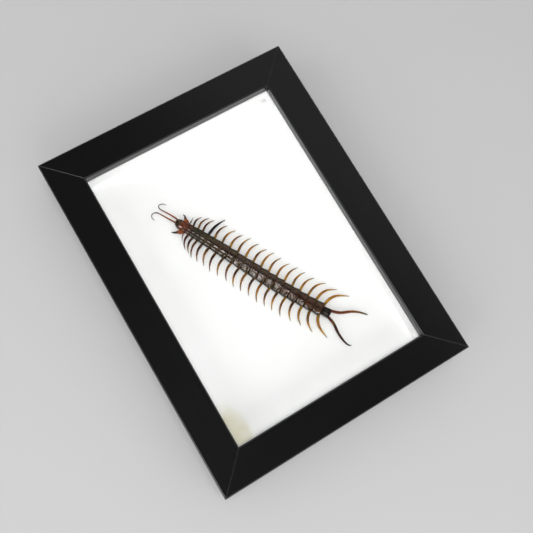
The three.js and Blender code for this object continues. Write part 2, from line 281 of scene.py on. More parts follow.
def hardboard():
    material, tree = newMaterial("hardboard")
    coords = objectPlace(tree)
    fibre = addNoise(tree, coords, rawHardboard["fibreMm"], 6.0, 0.7).outputs["Fac"]
    cloud = addNoise(tree, coords, rawHardboard["cloudMm"], 3.0).outputs["Fac"]
    mixed = addNode(tree, "ShaderNodeMath", {"operation": "MULTIPLY_ADD", 1: rawHardboard["cloudShare"]},
                    {0: cloud, 2: fibre})
    colour = addRamp(tree, mixed.outputs[0], [(0.42, rawHardboard["dark"]), (0.8, rawHardboard["light"])])
    waves = []
    for direction in ("X", "Y"):
        # a wave node's bands turn through 20 radians in one unit, so dimpleMm is one radian of them
        wave = addNode(tree, "ShaderNodeTexWave",
                       {"wave_type": "BANDS", "bands_direction": direction,
                        "Scale": perMm(rawHardboard["dimpleMm"]) / 20, "Distortion": 0.6, "Detail": 1.0},
                       {"Vector": coords})
        waves.append(wave.outputs["Fac"])
    dimples = addRelief(tree, combine(tree, "MULTIPLY", *waves), rawHardboard["dimple"],
                        rawHardboard["dimpleDepthMm"])
    fuzz = addRelief(tree, fibre, rawHardboard["fuzz"], rawHardboard["fuzzDepthMm"], dimples)
    shader = addNode(tree, "ShaderNodeBsdfPrincipled", {"Roughness": 0.78, "IOR": 1.45},
                     {"Base Color": colour, "Normal": fuzz})
    closeMaterial(tree, shader)
    return material


# stamped sheet metal: rolled streaks and a few dull spots
springSteel = {"pale": "#b9bcbf", "dull": "#8f9396", "roughness": (0.24, 0.46)}
platedBrass = {"pale": "#c9a75c", "dull": "#9a7a3a", "roughness": (0.2, 0.42)}
rolledSheet = {
    "stretch": (1.0, 0.08, 1.0), "streakMm": 0.25, "spotMm": 2.5, "streak": 0.15, "depthMm": 0.03,
}


def stampedMetal(name, metal):
    material, tree = newMaterial(name)
    coords = objectPlace(tree)
    rolled = addNode(tree, "ShaderNodeMapping", {"Scale": rolledSheet["stretch"]}, {"Vector": coords})
    streak = addNoise(tree, rolled.outputs[0], rolledSheet["streakMm"], 3.0).outputs["Fac"]
    spot = addNoise(tree, coords, rolledSheet["spotMm"], 4.0).outputs["Fac"]
    colour = addRamp(tree, spot, [(0.3, metal["dull"]), (0.6, metal["pale"])])
    gloss = spread(tree, streak, *metal["roughness"], 0.0, 1.0)
    relief = addRelief(tree, streak, rolledSheet["streak"], rolledSheet["depthMm"])
    shader = addNode(tree, "ShaderNodeBsdfPrincipled", {"Metallic": 1.0},
                     {"Base Color": colour, "Roughness": gloss, "Normal": relief})
    closeMaterial(tree, shader)
    return material


# pieces
def makePiece(name, bm, materials, node):
    mesh = bpy.data.meshes.new(name)
    bm.to_mesh(mesh)
    bm.free()
    for old in ("custom_normal", "sharp_edge"):
        if old in mesh.attributes:
            mesh.attributes.remove(mesh.attributes[old])
    for material in materials:
        mesh.materials.append(material)
    piece = bpy.data.objects.new(name, mesh)
    scene.collection.objects.link(piece)
    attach(piece, "root")
    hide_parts(node)
    return piece


cleanCopy = {"mergeMm": 0.005, "flatDegrees": 0.5}
easedEdges = {  # width in mm, steps and the least turn in degrees of an edge that is eased
    "rail": (0.26, 4, 20), "glass": (0.25, 2, 20), "card": (0.2, 2, 20),
    "panel": (0.15, 2, 40), "tab": (0.1, 2, 40), "hanger": (0.1, 2, 30),
}


def copyOfNode(node):  # the solid's own shape, merged and with its flat faces whole
    bm = bmesh.new()
    bm.from_mesh(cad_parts[node].data)
    bmesh.ops.remove_doubles(bm, verts=bm.verts, dist=cleanCopy["mergeMm"] * mm)
    bmesh.ops.dissolve_limit(bm, angle_limit=math.radians(cleanCopy["flatDegrees"]),
                             verts=bm.verts, edges=bm.edges)
    for face in bm.faces:
        face.material_index = 0
        face.smooth = False
    return bm


def boxOfNode(node):
    low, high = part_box(node)
    size = high - low
    bm = bmesh.new()
    place = Matrix.Translation((low + high) / 2)
    bmesh.ops.create_cube(bm, size=1.0, matrix=place @ Matrix.Diagonal((*size, 1)))
    return bm


def roundEdges(bm, kind, edgeMaterial=0):
    width, segments, leastTurn = easedEdges[kind]
    turn = math.radians(leastTurn)
    edges = [e for e in bm.edges if len(e.link_faces) == 2 and e.calc_face_angle() > turn]
    made = bmesh.ops.bevel(bm, geom=edges, offset=width * mm, offset_type="OFFSET", affect="EDGES",
                           segments=segments, profile=0.5, material=-1, clamp_overlap=True)
    for face in made["faces"]:
        face.smooth = True
        face.material_index = edgeMaterial
    return bm


railGrain = {"Short": (("top", "bottom"), "alongX"), "Long": (("left", "right"), "alongY")}


def makeRails():
    for kind, (sides, grainWay) in railGrain.items():
        # the second paint, on the eased edges, is lighter: a painted highlight
        paints = [paintedWood("blackPaint" + kind, grainWay, blackPaint),
                  paintedWood("edgeHighlightPaint" + kind, grainWay, paintedEdgeHighlight)]
        for side in sides:
            bm = roundEdges(copyOfNode("rail_" + side), "rail", edgeMaterial=1)
            makePiece("frameRail_" + side, bm, paints, "rail_" + side)


def makeGlass():
    bm = roundEdges(boxOfNode("glass_pane"), "glass")
    pane = makePiece("glassPane", bm, [floatGlass()], "glass_pane")
    pane.visible_shadow = False  # light reaches the board as through clean glass
    pane.visible_diffuse = False
    pane.visible_glossy = False
    return pane


def makeBackings():
    # foam strips whiter than the board, painted light on the shaded side walls
    strip = whitePaper("whiteFoamBoard", "foam")
    for side in ("top", "bottom", "left", "right"):
        bm = roundEdges(boxOfNode("spacer_" + side), "card")
        makePiece("spacerStrip_" + side, bm, [strip], "spacer_" + side)
    bm = roundEdges(boxOfNode("mount_board"), "card")
    board = whitePaper("whiteMountBoard", "board", paintedCornerShade)
    makePiece("mountBoard", bm, [board], "mount_board")
    bm = roundEdges(copyOfNode("back_panel"), "panel")
    makePiece("backPanel", bm, [hardboard()], "back_panel")


def makeFittings():
    steel = stampedMetal("springSteel", springSteel)
    brass = stampedMetal("platedBrass", platedBrass)
    for tab in ("top", "bottom", "left_1", "left_2", "right_1", "right_2"):
        bm = roundEdges(copyOfNode("tab_" + tab), "tab")
        makePiece("flexTab_" + tab, bm, [steel], "tab_" + tab)
    bm = roundEdges(copyOfNode("hanger"), "hanger")
    makePiece("sawtoothHanger", bm, [brass], "hanger")
    for number in ("1", "2"):
        makeRivet("hanger_rivet_" + number, "hangerRivet_" + number, brass)


rivetShape = {"shankShare": 0.53, "headShare": 0.19, "domeSteps": 8, "steps": 32, "mergeMm": 0.002}


def makeRivet(node, name, brass):
    low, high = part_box(node)
    centre = (low + high) / 2
    radius = (high.x - low.x) / 2
    shank = radius * rivetShape["shankShare"]
    rim = low.z + (high.z - low.z) * rivetShape["headShare"]
    bm = bmesh.new()
    outline = [(0, low.z)]
    for i in range(1, rivetShape["domeSteps"] + 1):  # domed head
        angle = math.pi / 2 * i / rivetShape["domeSteps"]
        outline.append((radius * math.sin(angle), rim - (rim - low.z) * math.cos(angle)))
    outline += [(shank, rim), (shank, high.z), (0, high.z)]
    verts = [bm.verts.new((centre.x + r, centre.y, z)) for r, z in outline]
    for a, b in zip(verts, verts[1:]):
        bm.edges.new((a, b))
    bmesh.ops.spin(bm, geom=bm.verts[:] + bm.edges[:], cent=centre, axis=(0, 0, 1), angle=2 * math.pi,
                   steps=rivetShape["steps"], use_merge=True)
    bmesh.ops.remove_doubles(bm, verts=bm.verts, dist=rivetShape["mergeMm"] * mm)
    bmesh.ops.recalc_face_normals(bm, faces=bm.faces)
    for face in bm.faces:
        face.smooth = True
    makePiece(name, bm, [brass], node)


makeRails()
print("rails made")
glassPane = makeGlass()
makeBackings()
makeFittings()
print("glass, board, back and fittings made")


# centipede, in mm in its own frame: x from head to tail, y to its upper side in the picture,
# z up from the board; its back shrank over the stretch "shrunk" and changes again over "aged"
body = {
    "start": (-25.3, 41.2), "turn": -60.85, "middle": 2.45,
    "legPairs": 20, "firstLeg": 5.6, "frontPitch": 3.0, "pitchGrowth": 2.3, "pitchPairs": (2.6, 6.8),
    "trunkStart": 4.0, "trunkEnd": 102.4, "lastPlate": 0.7, "seamBehind": 0.4,
    "widest": 4.2, "widestAt": 64.0, "taper": 0.19, "taperLength": 52.0,
    "bowBase": 0.03, "bowDepth": 1.78, "bowAt": 74.0, "bowSpread": 38.0,
    "shrunk": (18, 46), "aged": (72, 92),
}
sideNames = {1: "upper", -1: "lower"}


def smoothStep(value, low, high):
    share = min(1.0, max(0.0, (value - low) / (high - low)))
    return share * share * (3 - 2 * share)


def bump(value, centre, width):
    return math.exp(-((value - centre) / width) ** 2)


def bow(x):
    return body["bowBase"] - body["bowDepth"] * bump(x, body["bowAt"], body["bowSpread"])


def halfWidth(x):
    return body["widest"] * (1 - body["taper"] * ((x - body["widestAt"]) / body["taperLength"]) ** 2)


def legStations():
    places = [body["firstLeg"]]
    for pair in range(1, body["legPairs"] + 1):
        grown = smoothStep(pair, *body["pitchPairs"])
        places.append(places[-1] + body["frontPitch"] + body["pitchGrowth"] * grown)
    return places


stations = legStations()
seams = [place + body["seamBehind"] for place in stations[:-1]]
plateEnds = [body["trunkStart"]] + seams + [body["trunkEnd"]]


class Builder:  # gathers the parts of the animal in one mesh, with its own attributes for the materials
    def __init__(self):
        self.bm = bmesh.new()
        self.bm.verts.layers.float.new("share")  # root to tip, or front to rear of head and trunk
        self.bm.verts.layers.float.new("tone")  # how dark a leg is, or middle to edge of a plate

    def grid(self, along, across, shape, material, closed=False, thickness=0.0):
        bm = bmesh.new()
        share = bm.verts.layers.float.new("share")
        tone = bm.verts.layers.float.new("tone")
        bmesh.ops.create_grid(bm, x_segments=along, y_segments=across, size=0.5)
        for vert in bm.verts:
            place, vert[share], vert[tone] = shape(vert.co.x + 0.5, vert.co.y + 0.5)
            vert.co = place
        if closed:
            bmesh.ops.remove_doubles(bm, verts=bm.verts, dist=1e-4)
            rims = [e for e in bm.edges if e.is_boundary]
            bmesh.ops.holes_fill(bm, edges=rims, sides=0)
        bmesh.ops.recalc_face_normals(bm, faces=bm.faces)
        if thickness:
            bmesh.ops.solidify(bm, geom=bm.faces[:], thickness=thickness)
            bmesh.ops.recalc_face_normals(bm, faces=bm.faces)
        self.take(bm, material)

    def take(self, bm, material):
        for face in bm.faces:
            face.material_index = material
            face.smooth = True
        part = bpy.data.meshes.new("part")
        bm.to_mesh(part)
        bm.free()
        self.bm.from_mesh(part)
        bpy.data.meshes.remove(part)


plate, headPlate, leg, lastLeg, feeler, fang, belly = range(7)  # in the order of dryShells below


def smoothPath(points, count):  # an even curve through the points
    points = [Vector(p) for p in points]
    ends = [2 * points[0] - points[1]] + points + [2 * points[-1] - points[-2]]
    fine = []
    for before, start, end, after in zip(ends, ends[1:], ends[2:], ends[3:]):
        first = start + (end - before) / 6
        second = end - (after - start) / 6
        fine += interpolate_bezier(start, first, second, end, 24)[:-1]
    fine.append(points[-1])
    lengths = [0.0]
    for a, b in zip(fine, fine[1:]):
        lengths.append(lengths[-1] + (b - a).length)
    path = []
    k = 0
    for i in range(count + 1):
        goal = lengths[-1] * i / count
        while k < len(fine) - 2 and lengths[k + 1] < goal:
            k += 1
        part = (goal - lengths[k]) / (lengths[k + 1] - lengths[k])
        path.append(fine[k].lerp(fine[k + 1], part))
    return path


def limb(builder, points, radius, profile, sides, material, toneAt, rings):
    # rings: shares of the length where a ring stands; profile(share) gives width at that share
    fine = 400
    path = smoothPath(points, fine)

    def shape(u, w):
        share = rings[round(u * (len(rings) - 1))]
        k = min(fine - 1, max(1, round(share * fine)))
        ahead = (path[min(fine, k + 2)] - path[max(0, k - 2)]).normalized()
        aside = ahead.cross(Vector((0, 0, 1))).normalized()
        over = aside.cross(ahead)
        low = min(fine - 1, int(share * fine))
        centre = path[low].lerp(path[low + 1], share * fine - low)
        angle = 2 * math.pi * w
        wide = radius * profile(share)
        return centre + (aside * math.cos(angle) + over * math.sin(angle)) * wide, share, toneAt(share)

    builder.grid(len(rings) - 1, sides, shape, material, closed=True)


# every article narrows to a neck at its root and swells before its end
articleForm = {
    "taper": 1.4, "neck": 0.2, "neckReach": 0.06, "swell": 0.07, "swellAt": 0.86, "swellReach": 0.09,
}


def jointedProfile(joints, widths):
    def profile(share):
        k = 0
        while k < len(joints) - 2 and share >= joints[k + 1]:
            k += 1
        local = (share - joints[k]) / (joints[k + 1] - joints[k])
        width = widths[k] + (widths[k + 1] - widths[k]) * local ** articleForm["taper"]
        neck = articleForm["neck"] * bump(local, 0.0, articleForm["neckReach"])
        swell = articleForm["swell"] * bump(local, articleForm["swellAt"], articleForm["swellReach"])
        return width * (1 - neck + swell)
    return profile


def jointRings(joints, places):
    rings = []
    for a, b in zip(joints, joints[1:]):
        rings += [a + (b - a) * p for p in places]
    return rings + [1.0]


# walking legs: joints as shares of the length and the width at each; heights and outward places of root,
# knee, shin and claw; knee and shin lie along the body at a fixed part and a share of the claw's sweep
legForm = {
    "joints": [0.0, 0.1, 0.34, 0.56, 0.75, 0.88, 0.965, 1.0],
    "widths": [1.02, 1.0, 0.94, 0.76, 0.52, 0.36, 0.24, 0.08],
    "ringPlaces": [0.0, 0.05, 0.12, 0.3, 0.55, 0.8, 0.92],
    "heights": (2.0, 2.9, 1.7, 0.35), "outward": (0.0, 0.42, 0.74, 1.0), "rootDepth": 1.2, "sides": 12,
    "radius": 0.72, "rearStout": 0.2, "frontThin": 0.15, "thinPairs": (2, 6),
    "knee": (-0.9, 0.21), "shin": (-0.7, 0.5), "straying": 0.4,
    "reach": 14.6, "frontLoss": 3.6, "extraOver": (12, 48), "sweep": 2.6, "rearSweep": 8.4,
    "frontFade": 2.5, "rearFrom": 15, "rearPower": 2.2,
    "dark": 0.65, "paler": 0.03, "rearPaler": 0.3, "frontDark": 0.35, "darkPairs": (3, 7),
    "rootPart": (0.1, 0.5), "unevenDark": 0.4, "darkest": 1.2,
}
legSides = {
    "upper": {"rearReach": 0.8, "extraReach": 0.8, "frontSweep": 1.6, "stout": 1.0,
              "rootDark": 0.0, "rootFade": 0.0, "smallLeg": (0.2, -0.1, -0.3)},
    "lower": {"rearReach": -2.4, "extraReach": 0.0, "frontSweep": 0.4, "stout": 1.08,
              "rootDark": 0.7, "rootFade": 0.45, "smallLeg": (0.3, 0.9, 1.9)},
}
smallLeg = {"pair": 1, "reach": 8.1, "stout": 0.44, "tone": 1.2}
oddLeg = {  # the one dark leg that stands out straighter
    "pair": 5, "side": 1, "reach": 16.6, "stout": 1.25, "knee": 0.7, "shin": 2.0, "sweep": 3.7, "tone": 2.0,
}


def addWalkingLeg(builder, pair, side):
    own = legSides[sideNames[side]]
    x = stations[pair - 1]
    front = math.exp((2 - pair) / legForm["frontFade"])
    rearPairs = body["legPairs"] - legForm["rearFrom"]
    rear = max(0.0, (pair - legForm["rearFrom"]) / rearPairs) ** legForm["rearPower"]
    reach = legForm["reach"] - legForm["frontLoss"] * front + own["rearReach"] * rear
    sweep = legForm["sweep"] - own["frontSweep"] * front + legForm["rearSweep"] * rear
    reach += legForm["straying"] * math.sin(2.1 * pair + side)
    sweep += legForm["straying"] * math.sin(1.7 * pair + 2 * side)
    reach += own["extraReach"] * smoothStep(x, *legForm["extraOver"])
    knee, shin = [fixed + share * sweep for fixed, share in (legForm["knee"], legForm["shin"])]
    thin = legForm["frontThin"] * (1 - smoothStep(pair, *legForm["thinPairs"]))
    stout = own["stout"] + legForm["rearStout"] * rear - thin
    small = pair == smallLeg["pair"]
    odd = pair == oddLeg["pair"] and side == oddLeg["side"]
    if small:
        reach, stout = smallLeg["reach"], smallLeg["stout"]
        knee, shin, sweep = own["smallLeg"]
    if odd:
        reach, stout = oddLeg["reach"], oddLeg["stout"]
        knee, shin, sweep = oddLeg["knee"], oddLeg["shin"], oddLeg["sweep"]
    root = halfWidth(x) - legForm["rootDepth"]
    points = []
    for along, share, up in zip((0.0, knee, shin, sweep), legForm["outward"], legForm["heights"]):
        points.append((x + along, bow(x) + side * (root + (reach - root) * share), up))

    def toneAt(share):
        if odd:
            return oddLeg["tone"]
        if small:
            return smallLeg["tone"]
        dark = legForm["dark"] - legForm["paler"] * pair - legForm["rearPaler"] * rear
        dark += own["rootDark"] - own["rootFade"] * smoothStep(share, *legForm["rootPart"])
        dark += legForm["frontDark"] * (1 - smoothStep(pair, *legForm["darkPairs"]))
        uneven = math.sin(2.7 * pair + 1.3 * side + 5.0 * share)
        return min(legForm["darkest"], dark + legForm["unevenDark"] * uneven)

    profile = jointedProfile(legForm["joints"], legForm["widths"])
    rings = jointRings(legForm["joints"], legForm["ringPlaces"])
    limb(builder, points, legForm["radius"] * stout, profile, legForm["sides"], leg, toneAt, rings)


lastLegForm = {
    "upper": [(99.5, 0.4, 2.2), (106.7, 2.7, 2.6), (111.7, 6.4, 2.4), (116.3, 9.0, 1.5),
              (122.0, 10.8, 0.45)],
    "lower": [(99.5, -2.0, 2.2), (106.3, -4.3, 2.6), (111.5, -7.8, 2.4), (116.3, -9.9, 1.4),
              (120.2, -10.6, 0.5), (122.2, -9.8, 0.4)],
    "tones": {"upper": 0.0, "lower": 1.0},  # the lower one dried nearly black, with one amber joint
    "joints": [0.0, 0.08, 0.34, 0.56, 0.76, 0.9, 0.97, 1.0],
    "widths": [0.9, 1.0, 1.02, 0.88, 0.7, 0.54, 0.38, 0.1],
    "radius": 0.86, "sides": 14,
}


def addLastLeg(builder, side):
    form = lastLegForm
    tone = form["tones"][sideNames[side]]
    profile = jointedProfile(form["joints"], form["widths"])
    rings = jointRings(form["joints"], legForm["ringPlaces"])
    points = form[sideNames[side]]
    limb(builder, points, form["radius"], profile, form["sides"], lastLeg, lambda share: tone, rings)


antennaForm = {
    "upper": [(0.5, 0.9, 2.8), (-3.3, 1.7, 2.9), (-9.0, 1.8, 2.4), (-13.6, 1.8, 1.8),
              (-15.4, 3.2, 1.5), (-14.4, 5.2, 1.2), (-12.0, 5.9, 0.9)],
    "lower": [(0.5, -0.4, 2.8), (-3.3, -0.7, 2.9), (-9.0, -0.8, 2.4), (-13.6, -0.9, 1.8),
              (-15.8, -2.6, 1.5), (-15.2, -4.8, 1.2), (-12.8, -5.6, 0.9)],
    "articles": 18, "ringPlaces": [0.0, 0.15, 0.4, 0.7, 0.9], "root": 0.56, "tip": 0.17, "sides": 10,
    "bead": 0.24, "rootReach": 0.12, "endReach": 0.08, "pointFrom": 0.985, "pointLoss": 0.9,
}


def addAntenna(builder, side):
    form = antennaForm
    count = form["articles"]

    def profile(share):
        local = (share * count) % 1.0
        bead = 1 - form["bead"] * (bump(local, 0.0, form["rootReach"]) + bump(local, 1.0, form["endReach"]))
        end = 1 - form["pointLoss"] * smoothStep(share, form["pointFrom"], 1.0)
        return (form["root"] + (form["tip"] - form["root"]) * share) * bead * end

    rings = jointRings([i / count for i in range(count + 1)], form["ringPlaces"])
    limb(builder, form[sideNames[side]], 1.0, profile, form["sides"], feeler, lambda share: 0.5, rings)


fangForm = {
    "upper": [(6.0, 1.4, 1.7), (3.9, 2.9, 1.8), (2.4, 4.1, 1.6), (1.3, 5.3, 1.4), (0.4, 6.0, 1.25),
              (-0.6, 6.0, 1.2)],
    "lower": [(6.0, -1.4, 1.7), (4.2, -3.1, 1.8), (2.6, -4.4, 1.6), (1.3, -5.5, 1.4), (-0.8, -6.55, 1.2)],
    "joints": [0.0, 0.42, 0.5, 0.57, 1.0], "widths": [1.2, 1.45, 1.1, 0.85, 0.14], "sides": 16,
    "ringPlaces": [0.0, 0.04, 0.1, 0.25, 0.45, 0.65, 0.8, 0.92], "hollow": 0.35, "hollowOver": (0.57, 0.75),
}


def addFang(builder, side):
    form = fangForm
    points = [(x, bow(x) + y, z) for x, y, z in form[sideNames[side]]]
    joined = jointedProfile(form["joints"], form["widths"])

    def profile(share):
        hollow = form["hollow"] * smoothStep(share, *form["hollowOver"])
        return joined(share) * (1 - hollow * (1 - share))

    rings = jointRings(form["joints"], form["ringPlaces"])
    limb(builder, points, 1.0, profile, form["sides"], fang, lambda share: 0.5, rings)


# trunk plates: a flat middle and sloping sides like a low roof, the rear edge bowed and over the next one;
# places across are shares of the half width, places along are shares of the plate
plateForm = {
    "grid": (16, 60), "thickness": 0.22, "rise": 0.54, "ridge": 0.07, "steeper": (0.95, 0.2),
    "overlap": 0.45, "overhang": 0.1, "rearBow": 0.35, "corner": 0.25,
    "narrow": 0.91, "flare": 0.1, "nip": 0.02, "flareEnd": 0.9, "flareFrom": 0.74,
    "curl": 0.62, "curlOver": (0.86, 1.04), "rim": 0.05, "rimAt": 0.87, "rimWidth": 0.05,
    "creases": (0.18, 0.69), "creaseWidth": 0.078,
    "furrowAt": 0.36, "furrowWidth": 0.07, "furrowOver": (0.1, 0.3),
    "tuckEnd": 0.22, "liftFrom": 0.75, "sinkAcross": (0.55, 0.2), "sinkAlong": (0.55, 0.24),
    "dentGrain": (0.6, 1.4, 1.7), "fineGrain": (1.5, 5.2, 3.7), "fineDent": 0.6,
    "roll": 0.14, "rollStep": 2.3, "shift": 0.17, "shiftAt": 66, "shiftSpread": 14,
    "seamOver": (0.12, 0.24), "frontTone": 0.81, "frontOver": (14, 30), "middleLine": (0.06, 0.12),
    "lastRise": 0.6, "lastSlope": 0.25, "lastTone": 0.885, "headPlates": 2, "headShare": (0.75, 0.125),
}
plateChange = {  # at the front, in the middle and at the tail
    "flat": (0.2, 0.09, 0.56), "slope": (0.03, 0.45, 0.47), "crease": (0.25, 0.06, 0.0),
    "furrow": (0.1, 0.12, 0.06), "dent": (0.03, 0.36, 0.4), "sink": (0.0, 0.12, 0.16),
    "tuck": (0.4, 0.7, 0.7), "lift": (0.08, 0.2, 0.2), "seam": (0.5, 1.0, 1.0),
}


def plateWidth(along):
    wider = plateForm["flare"] * smoothStep(along, 0.0, plateForm["flareEnd"])
    return plateForm["narrow"] + wider - plateForm["nip"] * smoothStep(along, plateForm["flareEnd"], 1.0)


def dentAt(grain, x, y, z):
    return noise.noise(Vector((x * grain[0], y * grain[1], z * grain[2])))


def addPlate(builder, number):
    form = plateForm
    start = plateEnds[number] - form["overlap"]
    end = plateEnds[number + 1] + form["overhang"]
    station = (plateEnds[number] + plateEnds[number + 1]) / 2
    last = number == body["legPairs"]
    nearHead = number < form["headPlates"]  # the first ones are red-brown like the rear of the head
    wide = halfWidth(station) * (body["lastPlate"] if last else 1)
    top = body["middle"] + form["rise"] * wide * (form["lastRise"] if last else 1)
    shrunk = smoothStep(station, *body["shrunk"])
    aged = smoothStep(station, *body["aged"])
    own = {}
    for name, (front, middle, tail) in plateChange.items():
        own[name] = front + (middle - front) * shrunk + (tail - middle) * aged
    ground = form["frontTone"] * (1 - smoothStep(station, *form["frontOver"]))  # darker at the front
    shift = form["shift"] * bump(station, form["shiftAt"], form["shiftSpread"])  # of the middle line
    if last:
        own["slope"] *= form["lastSlope"]
        own["dent"] *= form["lastSlope"]

    def shape(u, w):
        across = 2 * w - 1
        span = 1 + shift if across < shift else 1 - shift
        edge = abs(across - shift) / span
        x = start + (end - start) * u
        x -= form["corner"] * edge ** 3 * (u - 0.5)  # rounded corners
        x -= form["rearBow"] * edge ** 2 * u
        slope = own["slope"] * (form["steeper"][0] + form["steeper"][1] * edge) * wide * span
        down = edge - own["flat"]
        z = top - slope * (down + math.hypot(down, form["ridge"])) / 2
        z -= form["curl"] * smoothStep(edge, *form["curlOver"])
        for place in form["creases"]:
            z -= own["crease"] * smoothStep(edge, place - form["creaseWidth"], place + form["creaseWidth"])
        furrow = own["furrow"] * bump(edge, form["furrowAt"], form["furrowWidth"])
        z -= furrow * smoothStep(u, *form["furrowOver"])
        z += form["rim"] * bump(edge, form["rimAt"], form["rimWidth"])
        z -= own["tuck"] * (1 - smoothStep(u, 0.0, form["tuckEnd"]))
        z += own["lift"] * smoothStep(u, form["liftFrom"], 1.0)
        z -= own["sink"] * bump(edge, *form["sinkAcross"]) * bump(u, *form["sinkAlong"])  # dried and sunken
        z += own["dent"] * dentAt(form["dentGrain"], x, across, number)
        z += form["fineDent"] * own["dent"] * dentAt(form["fineGrain"], x, across, number)
        z += form["roll"] * across * math.sin(form["rollStep"] * number)
        flare = (1 - plateWidth(u)) * smoothStep(abs(across), form["flareFrom"], 1.0)
        y = bow(x) + across * wide * (1 - flare)
        seam = own["seam"] * (1 - smoothStep(u, *form["seamOver"]))
        tone = max(edge, seam, ground * smoothStep(edge, *form["middleLine"]), form["lastTone"] * last)
        share = x / body["trunkEnd"]
        if nearHead:
            share = form["headShare"][0] + form["headShare"][1] * (number + u)
        return Vector((x, y, z)), share, tone

    shell = headPlate if nearHead else plate
    builder.grid(*form["grid"], shape, shell, thickness=form["thickness"])


# the soft trunk under the plates, lower where the plates slope more
coreForm = {
    "grid": (220, 24), "rearGap": 0.4, "width": 0.9, "swell": 0.05, "endWidth": 0.35, "ends": (0.02, 0.985),
    "wrinkle": 0.03, "wrinkleGrain": (1.6, 3.0, 3.0),
    "rise": 0.42, "sunkenLoss": 0.28, "lastRise": 0.28, "drop": 0.5, "clearance": 0.25,
}


def addTrunkCore(builder):
    form = coreForm
    front, rear = body["trunkStart"], body["trunkEnd"] - form["rearGap"]

    def shape(u, w):
        x = front + (rear - front) * u
        number = 0
        while number < body["legPairs"] and x >= plateEnds[number + 1]:
            number += 1
        local = (x - plateEnds[number]) / (plateEnds[number + 1] - plateEnds[number])
        last = number == body["legPairs"]
        wide = halfWidth(x) * (body["lastPlate"] if last else 1)
        wide *= form["width"] + form["swell"] * math.sin(math.pi * local)
        full = smoothStep(u, 0.0, form["ends"][0]) * (1 - smoothStep(u, form["ends"][1], 1.0))
        wide *= form["endWidth"] + (1 - form["endWidth"]) * full
        angle = 2 * math.pi * w
        up = math.sin(angle)
        out = math.cos(angle)
        wrinkle = 1 + form["wrinkle"] * dentAt(form["wrinkleGrain"], x, out, up)
        sunken = smoothStep(x, *body["shrunk"]) * (1 - smoothStep(x, *body["aged"]))
        rise = form["lastRise"] if last else form["rise"] - form["sunkenLoss"] * sunken
        z = body["middle"] + (rise if up > 0 else form["drop"]) * wide * up * wrinkle
        return Vector((x, bow(x) + wide * out * wrinkle, max(z, form["clearance"]))), local, abs(out)

    builder.grid(*form["grid"], shape, belly, closed=True)


headForm = {
    "segments": (40, 24), "middle": 1.6, "halfLength": 3.7, "halfWidth": 2.75, "rise": 2.0, "drop": 1.7,
    "square": 0.12, "furrow": 0.14, "furrowWidth": 0.07, "furrowOver": (-0.3, 0.5),
    "uneven": 0.08, "unevenGrain": (2.2, 2.2, 1.0), "unevenPlace": 4.0,
    "eyes": [(-0.9, 1.85, 0.75), (-0.55, 2.1, 0.7), (-0.95, 1.75, 0.4), (-0.5, 2.15, 0.35)],
    "eyeRadius": 0.2,
}


def addHead(builder):
    form = headForm
    bm = bmesh.new()
    share = bm.verts.layers.float.new("share")
    tone = bm.verts.layers.float.new("tone")
    around, rows = form["segments"]
    bmesh.ops.create_uvsphere(bm, u_segments=around, v_segments=rows, radius=1.0)
    for vert in bm.verts:
        x, y, z = vert.co
        square = 1 + form["square"] * (1 - abs(x)) * abs(y)
        along = form["middle"] + form["halfLength"] * x
        height = z * (form["rise"] if z > 0 else form["drop"])
        furrow = form["furrow"] * bump(y, 0.0, form["furrowWidth"])  # between the feelers
        height -= furrow * smoothStep(-x, *form["furrowOver"]) * (z > 0)
        height += form["uneven"] * dentAt(form["unevenGrain"], x, y, form["unevenPlace"])
        vert.co = (along, bow(along) + form["halfWidth"] * y * square, body["middle"] + height)
        vert[share] = 0.5 + 0.5 * x
        vert[tone] = abs(y)
    builder.take(bm, headPlate)
    for side in (1, -1):  # four small eyes beside each feeler
        for x, y, z in form["eyes"]:
            eye = bmesh.new()
            eye.verts.layers.float.new("share")
            eye.verts.layers.float.new("tone")
            place = Matrix.Translation((x, bow(x) + side * y, body["middle"] + z))
            bmesh.ops.create_icosphere(eye, subdivisions=2, radius=form["eyeRadius"], matrix=place)
            builder.take(eye, headPlate)


